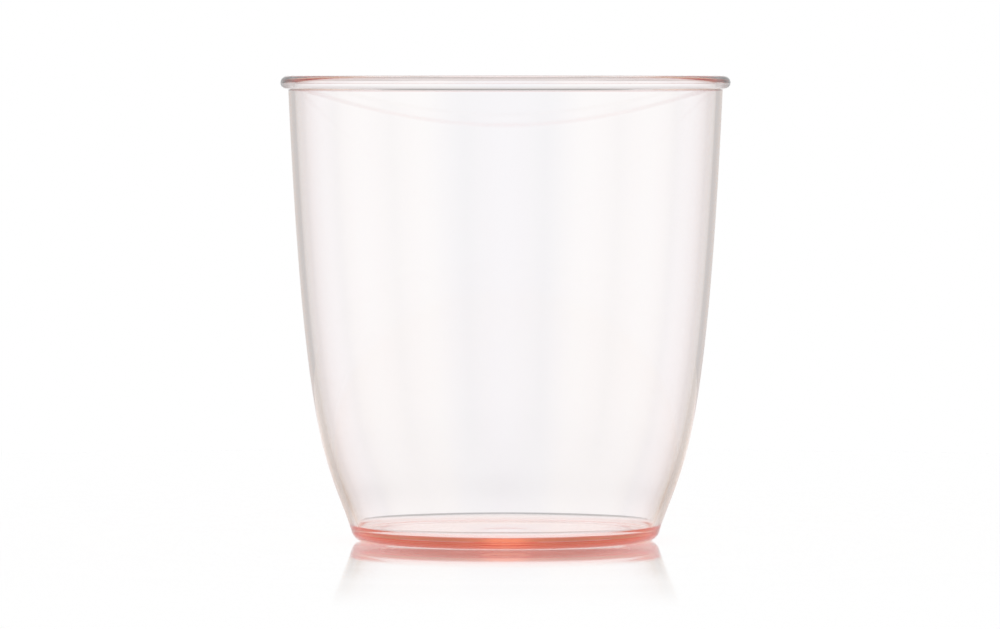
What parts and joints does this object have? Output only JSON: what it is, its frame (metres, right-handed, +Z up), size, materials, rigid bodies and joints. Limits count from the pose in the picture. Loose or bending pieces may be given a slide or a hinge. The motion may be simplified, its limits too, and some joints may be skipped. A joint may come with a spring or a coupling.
{
  "type": "plastic tumbler cup",
  "caption": "Clear pale coral plastic tumbler with a rounded outward lip, a softly tapering curved wall and a thicker foot.",
  "frame": {"origin": "centre of the foot, on the surface that the cup stands on", "axes": "+Z up along the cup's axis, towards the mouth; the cup is round, so X and Y are alike"},
  "size_m": [0.09, 0.09, 0.093],
  "materials": {
    "clear_plastic": "clear, glossy moulded plastic with a faint coral tint that deepens where the light runs along the floor"
  },
  "bodies": {
    "root": {"tumbler": "clear_plastic"}
  },
  "joints": []
}
